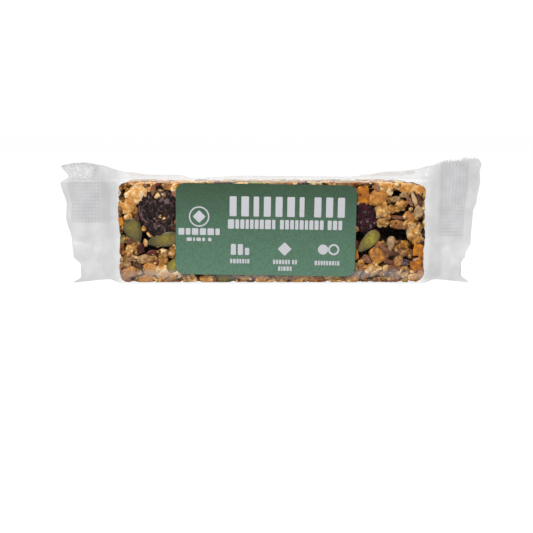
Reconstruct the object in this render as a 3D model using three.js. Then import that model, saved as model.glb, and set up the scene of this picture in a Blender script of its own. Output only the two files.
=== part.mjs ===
// A pressed bar of oats, seeds and dried fruit, sealed in a clear flow-wrap bag with a green label.
//
// Millimetres, +Z up. The pack stands on one long narrow side. Its label faces -Y, and the origin is
// the middle of the pack on the surface that it stands on. The bag is drawn as the closed solid that
// film and bar make together: straight over the bar, a short neck at each end where the film runs
// down to the middle plane, and a flat crimped end seal. Film that is too wide stands up as a low
// ridge over the bar, which climbs towards the necks and ends in an ear on top of each seal.
import * as THREE from "three";

// ---- Driving dimensions ----

const BAR = { length: 115, thickness: 21, height: 37.7 };
const FILM_SLACK = 0.35; // film outside the bar, on every side
const EDGE_RADIUS = 1.3; // long edges, where the film is drawn over the bar

// Distances from the middle of the pack, along its length.
const NECK_START = BAR.length / 2 - 0.4;
const SEAL_START = 65.3;
const CUT_EDGE = 79.8; // before it wanders in or out
const CURL_START = 60;
const SETTLE_LENGTH = 3; // over which a seal takes up its own lean and wave

const SEAL_THICKNESS = 0.4;
const SHOULDER_HEIGHT = 37.6; // fold between a seal and its ear
const HEM_HEIGHT = 2.2; // fold between a seal and the film gathered under it
const HEM_CLEARANCE = 0.4; // lowest film of a seal, above the surface

const CRIMP = { pitch: 1.34, stepsPerRib: 4, depth: 0.16 };
const FLAP_STEPS = 3; // rings over the plain film beyond the crimp
const EVEN_RIDGE = 27; // stretch from the middle over which the ridge above the bar is nearly even
const BACK_SEAM = { width: 9, step: 0.4 };
const DENTS = { depth: 0.2, start: 37, full: 41, base: 1.3 }; // lumps of the bar under the film

const LABEL = {
  width: 66.9,
  height: 34.1,
  thickness: 0.3,
  corner: 3.2,
  gap: 0.1,
  centreX: -2.3,
  centreZ: 20.4,
  tiltDegrees: 0.8,
};

// The two seals. ribs is how many ribs its jaws pressed. curl is how steeply the foot of a seal turns
// towards the label's side, earLean how steeply its ear leans to the back. ridge is how high the
// loose film stands above the bar at each distance from the middle of the pack. reach is how far the
// cut edge lies from the middle at each height, and shows its tears.
const LEFT_SEAL = {
  side: -1,
  ribs: 9,
  earLean: 0.5,
  curl: 0.7,
  wave: 0.5,
  ridge: [
    [0, 1.4],
    [12, 1.5],
    [22, 1],
    [29.5, 0.3],
    [35, 1.8],
    [46, 1.9],
    [55, 2.9],
    [66, 5.6],
    [72, 6.3],
    [80, 6.2],
  ],
  reach: [
    [0.4, 74.6],
    [2.3, 72],
    [6.7, 72.2],
    [9.9, 75.5],
    [14.5, 76.8],
    [24.5, 78.7],
    [29, 78.3],
    [37.2, 80.5],
    [39.4, 77.5],
    [43.6, 80.9],
    [44.7, 75.8],
  ],
};
const RIGHT_SEAL = {
  side: 1,
  ribs: 7,
  earLean: 0.3,
  curl: 0.68,
  wave: -0.7,
  ridge: [
    [0, 1.4],
    [30, 1.15],
    [36, 1.95],
    [44, 3.1],
    [48, 3.15],
    [54, 3.85],
    [60, 5.2],
    [66, 7.4],
    [72, 7.75],
    [76, 8.8],
    [80, 8.7],
  ],
  reach: [
    [0.4, 74],
    [3.3, 71],
    [7.3, 71.1],
    [9.9, 73.4],
    [15, 76.4],
    [26.3, 77.1],
    [30, 78.3],
    [38.9, 79.2],
    [41.2, 79],
    [44.7, 79.9],
    [46.9, 78.1],
  ],
};
const [CURL_FULL, CURL_TOP] = [4, 16]; // the curl fades out between these heights

const bodyHalfThickness = BAR.thickness / 2 + FILM_SLACK;
const bodyHeight = BAR.height + 2 * FILM_SLACK;

// ---- Small helpers ----

const { clamp, degToRad, lerp, smoothstep } = THREE.MathUtils;

// The value of a table of [place, value] rows at a place, eased between its rows.
function readTable(rows, place) {
  const above = rows.findIndex((row) => row[0] > place);
  if (above === 0) return rows[0][1];
  if (above < 0) return rows[rows.length - 1][1];
  const [low, high] = [rows[above - 1], rows[above]];
  return lerp(low[1], high[1], smoothstep(place, low[0], high[0]));
}

// Evenly spaced values after from, up to and with to.
function steps(from, to, count) {
  return Array.from({ length: count }, (_, k) => lerp(from, to, (k + 1) / count));
}

// ---- The bag ----

// Lumps of the bar that show through the film, on the stretches beside the label.
function dent(x, y, z) {
  const beside = smoothstep(Math.abs(x), DENTS.start, DENTS.full);
  const aboveBase = smoothstep(z, DENTS.base, DENTS.base + 5);
  const broad = Math.sin(0.83 * x + 0.31 * y) * Math.cos(0.71 * z - 0.4);
  const narrow = 0.6 * Math.sin(1.31 * x - 0.47 * z);
  return DENTS.depth * beside * aboveBase * (broad + narrow);
}

// A point of the straight stretch, as its y and z. across runs from -1 on the label's side to 1 on
// the back, and up from 0 at the bottom to 1 at the top.
function bodyPoint(seal, along, across, up) {
  const flatHalf = bodyHalfThickness - EDGE_RADIUS;
  const y = across * bodyHalfThickness;
  const z = up * bodyHeight;
  const core = new THREE.Vector2(
    clamp(y, -flatHalf, flatHalf),
    clamp(z, EDGE_RADIUS, bodyHeight - EDGE_RADIUS),
  );
  const fromCore = new THREE.Vector2(y, z).sub(core);
  const point = core.add(fromCore.clampLength(0, EDGE_RADIUS));
  if (Math.abs(across) === 1) point.x += across * dent(seal.side * along, y, z);
  if (across === 1 && Math.abs(z - bodyHeight / 2) < BACK_SEAM.width / 2) point.x += BACK_SEAM.step;
  if (up === 1) point.y += readTable(seal.ridge, along) * (1 - Math.abs(across)) ** 1.2;
  return point;
}

// The same point where the film is flat: front and back lie on each other in the middle plane, the
// top of the bag is the ear above the shoulder, and its bottom is the hem.
function flatPoint(seal, along, across, up) {
  const y = (SEAL_THICKNESS / 2) * clamp(across * 3, -1, 1);
  const inward = 1 - Math.abs(across);
  if (up === 1) {
    const ridge = bodyHeight + readTable(seal.ridge, along);
    return new THREE.Vector2(y, lerp(SHOULDER_HEIGHT, ridge, inward));
  }
  if (up === 0) return new THREE.Vector2(y, lerp(HEM_HEIGHT, HEM_CLEARANCE, inward));
  return new THREE.Vector2(y, lerp(HEM_HEIGHT, SHOULDER_HEIGHT, up));
}

// How far the film stands out of the pack's middle plane, towards +Y. along and x are the distance
// from the middle of the pack before and after the cut edge's tears.
function standOff(seal, along, x, z) {
  const inSeal = Math.max(0, along - SEAL_START);
  const settled = clamp(inSeal / SETTLE_LENGTH, 0, 1);
  const curl = seal.curl * (1 - smoothstep(z, CURL_FULL, CURL_TOP)) * Math.max(0, x - CURL_START);
  const lean = seal.earLean * Math.max(0, z - SHOULDER_HEIGHT);
  const wave = seal.wave * Math.sin(z / 5.5);
  const turns = Math.min(inSeal / CRIMP.pitch, seal.ribs);
  const rib = CRIMP.depth * Math.sin(2 * Math.PI * turns);
  return settled * (lean + wave + rib) - curl;
}

// One point of the bag's surface.
function bagPoint(seal, along, across, up) {
  const body = bodyPoint(seal, along, across, up);
  const flat = flatPoint(seal, along, across, up);
  const flatness = clamp((along - NECK_START) / (SEAL_START - NECK_START), 0, 1);
  const y = lerp(body.x, flat.x, flatness ** 1.25);
  const z = lerp(body.y, flat.y, flatness);
  const share = Math.max(0, along - SEAL_START) / (CUT_EDGE - SEAL_START);
  const x = along + (readTable(seal.reach, z) - CUT_EDGE) * share ** 2;
  return new THREE.Vector3(seal.side * x, y + standOff(seal, along, x, z), z);
}

// Where the rings of points lie towards a seal, as distances from the middle of the pack.
function ringDistances(seal) {
  const crimpEnd = SEAL_START + seal.ribs * CRIMP.pitch;
  return [
    ...steps(0, EVEN_RIDGE, 5),
    ...steps(EVEN_RIDGE, NECK_START, 12),
    ...steps(NECK_START, SEAL_START, 5),
    ...steps(SEAL_START, crimpEnd, seal.ribs * CRIMP.stepsPerRib),
    ...steps(crimpEnd, CUT_EDGE, FLAP_STEPS),
  ];
}

// The places round one ring, from the middle of the bottom over the front, the top and the back.
// Each place on the front has one on the back at the same height.
function ringPlaces() {
  const seamEdge = BACK_SEAM.width / 2 / bodyHeight;
  const across = [0, 0.3, 0.6, 0.86];
  const up = [0, 0.035, 0.12, 0.25, 0.5 - seamEdge - 0.006, 0.5 - seamEdge + 0.006];
  const heights = [...up, 0.5, ...up.map((v) => 1 - v).reverse()];
  const front = [
    ...across.map((v) => [-v, 0]),
    ...heights.map((v) => [-1, v]),
    ...across.map((v) => [-v, 1]).reverse(),
  ];
  const back = front.slice(1, -1).map(([v, w]) => [-v, w]).reverse();
  return [...front, ...back];
}

// A closed skin over rings of points that follow each other towards +X. Each end is zipped shut
// from the front half of its ring to the back half.
function skinOver(rings) {
  const count = rings[0].length;
  const corners = [];
  const addTriangle = (...three) => {
    if (new Set(three).size === 3) corners.push(...three);
  };
  const addQuad = (a, b, c, d) => {
    addTriangle(a, b, c);
    addTriangle(a, c, d);
  };
  for (let first = 0; first < (rings.length - 1) * count; first += count)
    for (let k = 0; k < count; k++) {
      const next = (k + 1) % count;
      addQuad(first + k, first + count + k, first + count + next, first + next);
    }
  const last = (rings.length - 1) * count;
  for (let k = 0; k < count / 2; k++) {
    const back = (count - k) % count;
    addQuad(k, k + 1, count - k - 1, back);
    addQuad(last + k, last + back, last + count - k - 1, last + k + 1);
  }
  return new THREE.BufferGeometry().setFromPoints(rings.flat()).setIndex(corners);
}

function bagGeometry() {
  const places = ringPlaces();
  const ring = (seal, along) => places.map(([across, up]) => bagPoint(seal, along, across, up));
  const half = (seal) => ringDistances(seal).map((along) => ring(seal, along));
  const rings = [...half(LEFT_SEAL).reverse(), ring(RIGHT_SEAL, 0), ...half(RIGHT_SEAL)];
  const geometry = skinOver(rings);
  geometry.computeVertexNormals();
  return geometry;
}

// ---- The label ----

function roundedRectangle(width, height, corner) {
  const [x, y] = [width / 2 - corner, height / 2 - corner];
  const shape = new THREE.Shape();
  shape.absarc(x, y, corner, 0, Math.PI / 2);
  shape.absarc(-x, y, corner, Math.PI / 2, Math.PI);
  shape.absarc(-x, -y, corner, Math.PI, 1.5 * Math.PI);
  shape.absarc(x, -y, corner, 1.5 * Math.PI, 2 * Math.PI);
  return shape;
}

function labelGeometry() {
  const outline = roundedRectangle(LABEL.width, LABEL.height, LABEL.corner);
  return new THREE.ExtrudeGeometry(outline, {
    depth: LABEL.thickness,
    bevelEnabled: false,
    curveSegments: 8,
  });
}

// ---- The pack ----

const film = new THREE.MeshStandardMaterial({ color: 0xc79a5e, roughness: 0.25, metalness: 0 });
const paper = new THREE.MeshStandardMaterial({ color: 0x4b7a60, roughness: 0.5, metalness: 0 });

const bag = new THREE.Mesh(bagGeometry(), film);
bag.name = "sealed_bag";

// The label's printed face is its own +Z, which a quarter turn about X brings round to -Y.
const label = new THREE.Mesh(labelGeometry(), paper);
label.name = "label";
label.position.set(LABEL.centreX, -bodyHalfThickness - LABEL.gap, LABEL.centreZ);
label.rotation.set(Math.PI / 2, 0, -degToRad(LABEL.tiltDegrees));

const pack = new THREE.Group();
pack.add(bag, label);

export default pack;
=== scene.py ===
import math
from collections import namedtuple
from contextlib import contextmanager

import bpy
import numpy as np
from mathutils import Matrix, Vector, kdtree, noise


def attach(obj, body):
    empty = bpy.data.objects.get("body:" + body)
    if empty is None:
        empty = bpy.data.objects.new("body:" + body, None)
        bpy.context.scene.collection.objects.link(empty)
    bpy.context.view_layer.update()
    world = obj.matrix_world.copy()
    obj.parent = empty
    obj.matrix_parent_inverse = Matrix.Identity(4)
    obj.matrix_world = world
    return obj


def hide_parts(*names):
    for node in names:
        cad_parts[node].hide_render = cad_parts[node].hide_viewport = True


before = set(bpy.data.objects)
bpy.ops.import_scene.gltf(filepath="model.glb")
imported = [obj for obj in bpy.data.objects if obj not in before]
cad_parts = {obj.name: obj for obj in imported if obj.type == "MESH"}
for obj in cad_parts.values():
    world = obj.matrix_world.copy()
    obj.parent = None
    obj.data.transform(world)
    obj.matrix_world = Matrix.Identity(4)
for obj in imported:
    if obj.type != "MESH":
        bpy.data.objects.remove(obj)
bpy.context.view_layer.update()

MM = 0.001
TINY = 1e-9               # keeps a length that is divided by from being 0

# ---- Sizes ----

BAR_LENGTH, BAR_THICKNESS, BAR_HEIGHT = 115.0, 21.0, 37.7
FILM_SLACK = 0.35
BODY_HALF = BAR_THICKNESS / 2 + FILM_SLACK
BODY_HEIGHT = BAR_HEIGHT + 2 * FILM_SLACK
BAR_MIDDLE = np.array([0.0, 0.0, FILM_SLACK + BAR_HEIGHT / 2])
BAR_HALF = np.array([BAR_LENGTH, BAR_THICKNESS, BAR_HEIGHT]) / 2

EDGE_RADIUS = 1.3
NECK_START = BAR_LENGTH / 2 - 0.4
SEAL_START = 65.3
CUT_EDGE = 79.8
CURL_START = 60.0        # how far out the foot of a seal starts to curl towards the front
CURL_FULL, CURL_TOP = 4.0, 16.0
SETTLE_LENGTH = 3        # over which a seal takes up its own lean and wave
SEAL_THICKNESS = 0.4
SHOULDER_HEIGHT = 37.6
HEM_HEIGHT, HEM_CLEARANCE = 2.2, 0.4
# The next pair of heights holds a band of painted glare low along the front.
LOW_GLARE_HEIGHTS = 2.8, 4.6
CRIMP_PITCH, CRIMP_DEPTH, GROOVE_DEPTH = 1.34, 0.16, 0.05
SEAM_WIDTH, SEAM_STEP = 9.0, 0.4

# ridge is how high the loose film stands above the bar at each distance from the pack's middle,
# and reach is how far the cut edge lies from the middle at each height, with its tears. The jaws
# left a flat band, ribs and grooves that cross those, each from one height to another.
# ear_crumple is how rough the loose film of the ear is.
LEFT_SEAL = {
    "side": -1, "ear_lean": 0.5, "ear_crumple": 1.0, "curl": 0.7, "wave": 0.5,
    "ribs": 9, "rib_heights": (21, 38), "groove_heights": (22, 38),
    "jaw_start": 60.6, "jaw_heights": (22.5, 37.2),
    "ridge": [(0, 1.4), (12, 1.5), (22, 1.0), (29.5, 0.3), (35, 1.8), (46, 1.9), (55, 2.9),
              (66, 5.6), (72, 6.3), (80, 6.2)],
    "reach": [(0.4, 74.6), (2.3, 72.0), (6.7, 72.2), (9.9, 75.5), (14.5, 76.8), (24.5, 78.7),
              (29.0, 78.3), (37.2, 80.5), (39.4, 77.5), (43.6, 80.9), (44.7, 75.8)],
}
RIGHT_SEAL = {
    "side": 1, "ear_lean": 0.3, "ear_crumple": 0.25, "curl": 0.68, "wave": -0.7,
    "ribs": 7, "rib_heights": (26, 45), "groove_heights": (16, 28),
    "jaw_start": 64.3, "jaw_heights": (17, 45),
    "ridge": [(0, 1.4), (30, 1.15), (36, 1.95), (44, 3.1), (48, 3.15), (54, 3.85), (60, 5.2),
              (66, 7.4), (72, 7.75), (76, 8.8), (80, 8.7)],
    "reach": [(0.4, 74.0), (3.3, 71.0), (7.3, 71.1), (9.9, 73.4), (15.0, 76.4), (26.3, 77.1),
              (30.0, 78.3), (38.9, 79.2), (41.2, 79.0), (44.7, 79.9), (46.9, 78.1)],
}

LABEL_WIDTH, LABEL_HEIGHT, LABEL_CORNER = 66.9, 34.1, 3.2
LABEL_CENTRE = np.array([-2.3, -BODY_HALF - 0.14, 20.4])
LABEL_TILT = math.radians(0.8)
LABEL_THICKNESS = 0.22

# The photograph's camera, 9 degrees above the level.
CAMERA_PLACE = (-2.06, -341.4, 59.0)
CAMERA_DIP = 9
LENS, SENSOR_WIDTH = 60.4, 36.0

FRONT_LIGHT, BACK_LIGHT, HORIZON_LIGHT = 0.25, 1.06, 0.85

# ---- Helpers ----


def srgb(hex_colour, alpha=1.0):
    """A hex colour as Blender's linear values."""
    parts = [int(hex_colour[i:i + 2], 16) / 255 for i in (1, 3, 5)]
    linear = [c / 12.92 if c <= 0.04045 else ((c + 0.055) / 1.055) ** 2.4 for c in parts]
    return (*linear, alpha)


def smoothstep(value, low, high):
    t = np.clip((value - low) / (high - low), 0, 1)
    return t * t * (3 - 2 * t)


def read_table(rows, places):
    """The values of a table of (place, value) rows at some places, eased between its rows."""
    known, values = np.array(rows).T
    above = np.clip(np.searchsorted(known, places, side="right"), 1, len(known) - 1)
    ease = smoothstep(places, known[above - 1], known[above])
    return values[above - 1] + (values[above] - values[above - 1]) * ease


def noise_at(points, size, seed=0.0):
    """Smooth noise of about -1 to 1 at each point, with features of the given size."""
    shift = Vector((seed, 2.3 * seed, -1.7 * seed))
    flat = points.reshape(-1, 3)
    values = [noise.noise(Vector(p) / size + shift) for p in flat]
    return np.array(values).reshape(points.shape[:-1])


def keep_marks(mesh, **marks):
    """Keeps values for each point on a mesh, for its material to read."""
    for key, values in marks.items():
        layer = mesh.attributes.new(key, "FLOAT", "POINT")
        layer.data.foreach_set("value", np.asarray(values, np.float32).ravel())


def smooth(mesh):
    mesh.polygons.foreach_set("use_smooth", np.ones(len(mesh.polygons), bool))


def make_mesh(name, points, faces, **marks):
    """A smooth mesh from points in millimetres and faces of one size, with a value per point."""
    mesh = bpy.data.meshes.new(name)
    faces = np.asarray(faces, np.int32)
    mesh.vertices.add(len(points))
    mesh.vertices.foreach_set("co", (np.asarray(points) * MM).astype(np.float32).ravel())
    mesh.loops.add(faces.size)
    mesh.loops.foreach_set("vertex_index", faces.ravel())
    mesh.polygons.add(len(faces))
    mesh.polygons.foreach_set("loop_start", np.arange(0, faces.size, faces.shape[1], dtype=np.int32))
    smooth(mesh)
    mesh.update(calc_edges=True)
    keep_marks(mesh, **marks)
    piece = bpy.data.objects.new(name, mesh)
    bpy.context.scene.collection.objects.link(piece)
    return piece


def deselect():
    bpy.ops.object.select_all(action="DESELECT")


@contextmanager
def edit_mode():
    """Edits the active piece's mesh for as long as it is open."""
    bpy.ops.object.mode_set(mode="EDIT")
    yield
    bpy.ops.object.mode_set(mode="OBJECT")


def finish_with(piece, kind, **settings):
    """Puts a modifier on a piece and applies it."""
    modifier = piece.modifiers.new(kind.lower(), kind)
    for key, value in settings.items():
        setattr(modifier, key, value)
    bpy.context.view_layer.objects.active = piece
    bpy.ops.object.modifier_apply(modifier=modifier.name)


def surface_texture(name, kind, size, **settings):
    """A texture for a Displace modifier, with features of a size in the mesh's own units."""
    texture = bpy.data.textures.new(name, kind)
    texture.noise_scale = size
    for key, value in settings.items():
        setattr(texture, key, value)
    return texture


def add_node(tree, kind, inputs=None, **settings):
    """Adds a shader node with its settings. Each input is a plain value or another node's output,
    and a node by itself stands for its first output."""
    node = tree.nodes.new(kind)
    for key, value in settings.items():
        setattr(node, key, value)
    for key, value in (inputs or {}).items():
        source = value.outputs[0] if isinstance(value, bpy.types.Node) else value
        if isinstance(source, bpy.types.NodeSocket):
            tree.links.new(source, node.inputs[key])
        else:
            node.inputs[key].default_value = source
    return node


def new_material(name):
    """An empty material and its node tree."""
    material = bpy.data.materials.new(name)
    material.use_nodes = True
    material.node_tree.nodes.clear()
    return material, material.node_tree


def set_stops(ramp, stops):
    """Gives a colour ramp its stops, as (place, hex colour) pairs."""
    elements = ramp.color_ramp.elements
    while len(elements) < len(stops):
        elements.new(0.5)
    for element, (place, colour) in zip(elements, stops):
        element.position = place
        element.color = srgb(colour)


# ---- Camera, light and floor ----


def add_camera():
    """The photograph's view: level with the top of the pack's end seals and a little down."""
    data = bpy.data.cameras.new("camera")
    data.lens, data.sensor_width = LENS, SENSOR_WIDTH
    camera = bpy.data.objects.new("camera", data)
    camera.location = Vector(CAMERA_PLACE) * MM
    camera.rotation_euler = (math.radians(90 - CAMERA_DIP), 0, 0)
    bpy.context.scene.collection.objects.link(camera)
    bpy.context.scene.camera = camera
    bpy.context.scene.view_settings.view_transform = "Standard"


def add_softbox(name, place, target, width, power):
    """A square lamp at a place, facing a target, both in metres."""
    data = bpy.data.lights.new(name, "AREA")
    data.shape, data.size, data.energy = "SQUARE", width, power
    lamp = bpy.data.objects.new(name, data)
    lamp.location = place
    lamp.rotation_euler = (Vector(target) - Vector(place)).to_track_quat("-Z", "Y").to_euler()
    bpy.context.scene.collection.objects.link(lamp)


def add_sky():
    """A white studio that is dim in front of the pack and bright behind it and along the horizon."""
    world = bpy.data.worlds.new("studio")
    bpy.context.scene.world = world
    world.use_nodes = True
    tree = world.node_tree
    tree.nodes.clear()
    direction = add_node(tree, "ShaderNodeTexCoord").outputs["Generated"]
    split = add_node(tree, "ShaderNodeSeparateXYZ", {"Vector": direction})
    wall = add_node(tree, "ShaderNodeMapRange", {
        "Value": split.outputs["Y"], "From Min": -0.4, "From Max": 0.5,
        "To Min": FRONT_LIGHT, "To Max": BACK_LIGHT,
    })
    horizon = add_node(tree, "ShaderNodeMapRange", {
        "Value": split.outputs["Z"], "From Min": 0.06, "From Max": 0.35,
        "To Min": HORIZON_LIGHT, "To Max": 0,
    })
    strength = add_node(tree, "ShaderNodeMath", {0: wall, 1: horizon}, operation="MAXIMUM")
    sky = add_node(tree, "ShaderNodeBackground", {"Color": (1, 1, 1, 1), "Strength": strength})
    add_node(tree, "ShaderNodeOutputWorld", {"Surface": sky})


def add_floor():
    """A light table of white acrylic, which keeps the ground as pale as the photograph's."""
    deselect()
    bpy.ops.mesh.primitive_plane_add(size=8)
    floor = bpy.context.object
    floor.name = "floor"
    material, tree = new_material("light_table_acrylic_lit_from_below")
    shader = add_node(tree, "ShaderNodeBsdfPrincipled", {
        "Base Color": srgb("#3f3f3f"), "Roughness": 0.9, "Specular IOR Level": 0.0,
        "Emission Color": (1, 1, 1, 1), "Emission Strength": 0.96,
    })
    add_node(tree, "ShaderNodeOutputMaterial", {"Surface": shader})
    floor.data.materials.append(material)


def add_studio():
    """The white studio, two softboxes, a small lamp for glints on the film, and the floor."""
    add_sky()
    middle = (0, 0, 0.02)
    add_softbox("key_softbox", (-0.35, -0.45, 0.65), middle, 0.4, 8.0)
    add_softbox("glint_lamp", (-0.2, -0.5, 0.65), middle, 0.12, 4.0)
    add_softbox("top_softbox", (0.25, 0.2, 0.8), middle, 0.5, 6.0)
    add_floor()


# ---- Film ----


def crimp_end(seal):
    return SEAL_START + seal["ribs"] * CRIMP_PITCH


def ring_distances(seal):
    """Where the rings of film points lie, from the middle of the pack to the cut edge: far apart
    behind the label, closer beyond it and in the neck, and six to each rib of the seal."""
    return np.concatenate([
        np.linspace(0, 33, 23)[:-1],
        np.linspace(33, NECK_START, 33)[:-1],
        np.linspace(NECK_START, SEAL_START, 17)[:-1],
        np.linspace(SEAL_START, crimp_end(seal), seal["ribs"] * 6 + 1)[:-1],
        np.linspace(crimp_end(seal), CUT_EDGE, 9),
    ])


def ring_places():
    """Places round a ring, as (across, up) pairs from the bottom over the front, top and back. They
    lie close together round the corners and at the edges of the back seam."""
    flat = np.array([0, 0.15, 0.3, 0.45, 0.6, 0.75, 0.86, 0.9, 0.94, 0.98])
    corner = np.array([0, 0.006, 0.014, 0.024, 0.036, 0.06])
    seam = SEAM_WIDTH / 2 / BODY_HEIGHT
    low = np.concatenate([corner, np.linspace(0.085, 0.5 - seam - 0.006, 11),
                          np.linspace(0.5 - seam + 0.006, 0.5, 6)])
    heights = np.concatenate([low, 1 - low[::-1][1:]])
    front = np.concatenate([
        np.stack([-flat, np.zeros(len(flat))], 1),
        np.stack([-np.ones(len(heights)), heights], 1),
        np.stack([-flat[::-1], np.ones(len(flat))], 1),
    ])
    back = front[1:-1][::-1] * [-1, 1]
    return np.concatenate([front, back]).T


def within(height, limits, fade=2.0):
    """1 between two heights, fading to 0 over a short way beyond them."""
    low, high = limits
    return smoothstep(height, low - fade, low) * smoothstep(-height, -high - fade, -high)


def over_bar(across, up, rise):
    """The film where it lies over the bar, with its ridge and its back seam, and where that is."""
    flat_half = BODY_HALF - EDGE_RADIUS
    y, z = across * BODY_HALF, up * BODY_HEIGHT
    on_seam = (across == 1) & (abs(z - BODY_HEIGHT / 2) < SEAM_WIDTH / 2)
    core_y = np.clip(y, -flat_half, flat_half)
    core_z = np.clip(z, EDGE_RADIUS, BODY_HEIGHT - EDGE_RADIUS)
    reach = np.hypot(y - core_y, z - core_z)
    pull = np.where(reach > EDGE_RADIUS, EDGE_RADIUS / np.maximum(reach, TINY), 1)
    y = core_y + (y - core_y) * pull + np.where(on_seam, SEAM_STEP, 0)
    z = core_z + (z - core_z) * pull + np.where(up == 1, rise * (1 - abs(across)) ** 1.2, 0)
    return y, z, on_seam


def pressed_flat(across, up, rise):
    """The film where a seal has pressed it flat, with the ear above the seal and its hem."""
    inward = 1 - abs(across)
    y = SEAL_THICKNESS / 2 * np.clip(across * 3, -1, 1)
    z = HEM_HEIGHT + (SHOULDER_HEIGHT - HEM_HEIGHT) * up
    ear = SHOULDER_HEIGHT + (BODY_HEIGHT + rise - SHOULDER_HEIGHT) * inward
    hem = HEM_HEIGHT + (HEM_CLEARANCE - HEM_HEIGHT) * inward
    return y, np.where(up == 1, ear, np.where(up == 0, hem, z))


def crimp(seal, along, height):
    """Where a seal is crimped, from 0 to 1, and how its ribs stand there, from -1 to 1."""
    end = crimp_end(seal)
    crimped = smoothstep(along, SEAL_START, SEAL_START + 0.6) * smoothstep(-along, -end, 0.6 - end)
    turn = 2 * math.pi * (along - SEAL_START) / CRIMP_PITCH
    return crimped, crimped * within(height, seal["rib_heights"]) * np.arcsin(np.sin(turn)) * 2 / math.pi


def film_points(seal, along, across, up):
    """The film's surface at distances along the pack and at places round it, and its marks there."""
    along, across, up = np.broadcast_arrays(along[:, None], across[None], up[None])
    rise = read_table(seal["ridge"], along)
    body_y, body_z, on_seam = over_bar(across, up, rise)
    flat_y, flat_z = pressed_flat(across, up, rise)
    flatness = np.clip((along - NECK_START) / (SEAL_START - NECK_START), 0, 1)
    y = body_y + (flat_y - body_y) * flatness ** 1.25
    z = body_z + (flat_z - body_z) * flatness
    share = np.clip((along - SEAL_START) / (CUT_EDGE - SEAL_START), 0, 1)
    x = along + (read_table(seal["reach"], z) - CUT_EDGE) * share ** 2

    settled = np.clip((along - SEAL_START) / SETTLE_LENGTH, 0, 1)
    curl = seal["curl"] * (1 - smoothstep(z, CURL_FULL, CURL_TOP)) * np.maximum(0, x - CURL_START)
    lean = seal["ear_lean"] * np.maximum(0, z - SHOULDER_HEIGHT)
    wave = seal["wave"] * np.sin(z / 5.5)
    crimped, ribbed = crimp(seal, along, z)
    y = y + settled * (lean + wave) + CRIMP_DEPTH * ribbed - curl
    points = np.stack([seal["side"] * x, y, z], -1)
    worn = 0.35 + 0.65 * smoothstep(noise_at(points * [0.6, 1, 1], 5.0, 4.4), -0.3, 0.3)
    jaw_reach = seal["jaw_start"], crimp_end(seal)
    marks = {
        "flatness": flatness,
        "sealed": smoothstep(flatness, 0, 0.4),
        "ribbed": ribbed * worn,
        "grooved": crimped * worn * within(z, seal["groove_heights"]),
        "jaw": within(along, jaw_reach, 0.5) * within(z, seal["jaw_heights"], 0.8),
        "seam": on_seam.astype(float),
        "ear": seal["ear_crumple"] * settled * smoothstep(z, SHOULDER_HEIGHT, SHOULDER_HEIGHT + 1),
    }
    return points, marks


def crease_film(points, marks, outward):
    """Slight slack over the lumps of the bar, pulled folds in the necks and crumpled ears. Marks painted
    glare in a streaky band low along the front, along the top and on the back seam."""
    flatness = marks["flatness"]
    neck = np.sin(math.pi * flatness)
    stretched = points * [0.35, 1, 1]
    folds = 1 - 2.2 * abs(noise_at(stretched, 5.0, 3.1))
    slack = noise_at(points, 4.5, 7.7) * 0.12 * smoothstep(abs(points[..., 0]), 34, 40)
    lift = 0.38 * neck * folds + slack * (1 - flatness) * smoothstep(points[..., 2], 1.3, 6)
    crumple = 0.3 * noise_at(points, 1.6, 11.3) * marks["ear"]
    points[..., 1] += outward * lift + crumple
    # Painted glare: a streaky band low along the front, the top and the back seam.
    low_band_glare = within(points[..., 2], LOW_GLARE_HEIGHTS, 1.2) * (outward < 0)
    low_band_glare = low_band_glare * smoothstep(noise_at(stretched, 4.0, 5.9), -0.7, 0.3)
    top = smoothstep(points[..., 2], BODY_HEIGHT - 0.6, BODY_HEIGHT)
    marks["glare"] = (low_band_glare + 0.6 * top + 0.4 * marks["seam"]) * (1 - flatness)
    return points


def film_faces(rings, count):
    """The film's walls between its rings of points, and the strips that close its two ends."""
    first = (np.arange(rings - 1) * count)[:, None]
    near = np.arange(count)[None]
    far = (near + 1) % count
    walls = np.stack([first + near, first + count + near, first + count + far, first + far], -1)
    half = np.arange(1, count // 2 - 1)
    left_end = np.stack([half, half + 1, count - half - 1, count - half], -1)
    right_end = (rings - 1) * count + left_end[:, ::-1]
    return np.concatenate([walls.reshape(-1, 4), left_end, right_end])


def make_film():
    across, up = ring_places()
    left = film_points(LEFT_SEAL, ring_distances(LEFT_SEAL)[::-1], across, up)
    right = film_points(RIGHT_SEAL, ring_distances(RIGHT_SEAL)[1:], across, up)
    rings = np.concatenate([left[0], right[0]])
    marks = {key: np.concatenate([left[1][key], right[1][key]]) for key in left[1]}
    rings = crease_film(rings, marks, np.sign(across)[None] * (abs(across) == 1)[None])
    film = make_mesh("film", rings.reshape(-1, 3), film_faces(len(rings), len(across)), **marks)
    close_ends(film)
    return film


def close_ends(film):
    """Fills the small triangles that zip each cut edge shut."""
    deselect()
    bpy.context.view_layer.objects.active = film
    film.select_set(True)
    with edit_mode():
        bpy.ops.mesh.select_mode(type="EDGE")
        bpy.ops.mesh.select_all(action="DESELECT")
        bpy.ops.mesh.select_non_manifold()
        bpy.ops.mesh.fill_holes(sides=4)
        bpy.ops.mesh.select_all(action="SELECT")
        bpy.ops.mesh.normals_make_consistent(inside=False)
    smooth(film.data)


FILM_PATCH, FILM_SPECK = 6, 0.9


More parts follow.
